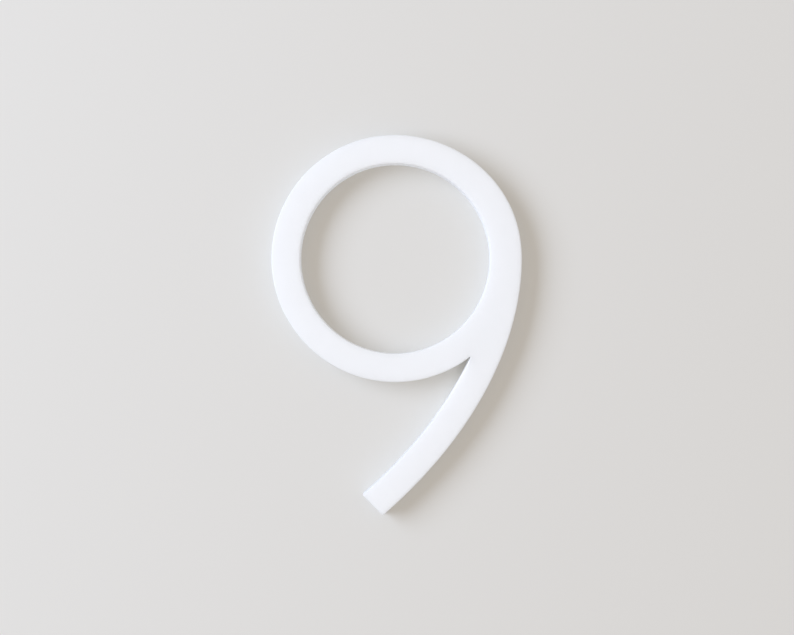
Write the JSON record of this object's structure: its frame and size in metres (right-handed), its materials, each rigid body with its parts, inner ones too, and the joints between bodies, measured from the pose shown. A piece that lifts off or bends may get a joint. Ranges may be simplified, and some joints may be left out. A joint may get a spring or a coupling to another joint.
{
  "type": "door number",
  "caption": "Flat white plastic figure nine with a round open bowl and a curved tail of even width, fixed to a door or wall by its flat back.",
  "frame": {"origin": "middle of the outline's extents, on the back face", "axes": "+Z out of the front face, +Y to the top of the figure, +X to the reader's right; the part lies on its back"},
  "size_m": [0.0987, 0.15, 0.008],
  "materials": {
    "white_acrylic": "opal white acrylic sheet, satin face, plain cut edges with a small rounding round the front"
  },
  "bodies": {
    "root": {"numeral_nine": "white_acrylic"}
  },
  "joints": []
}
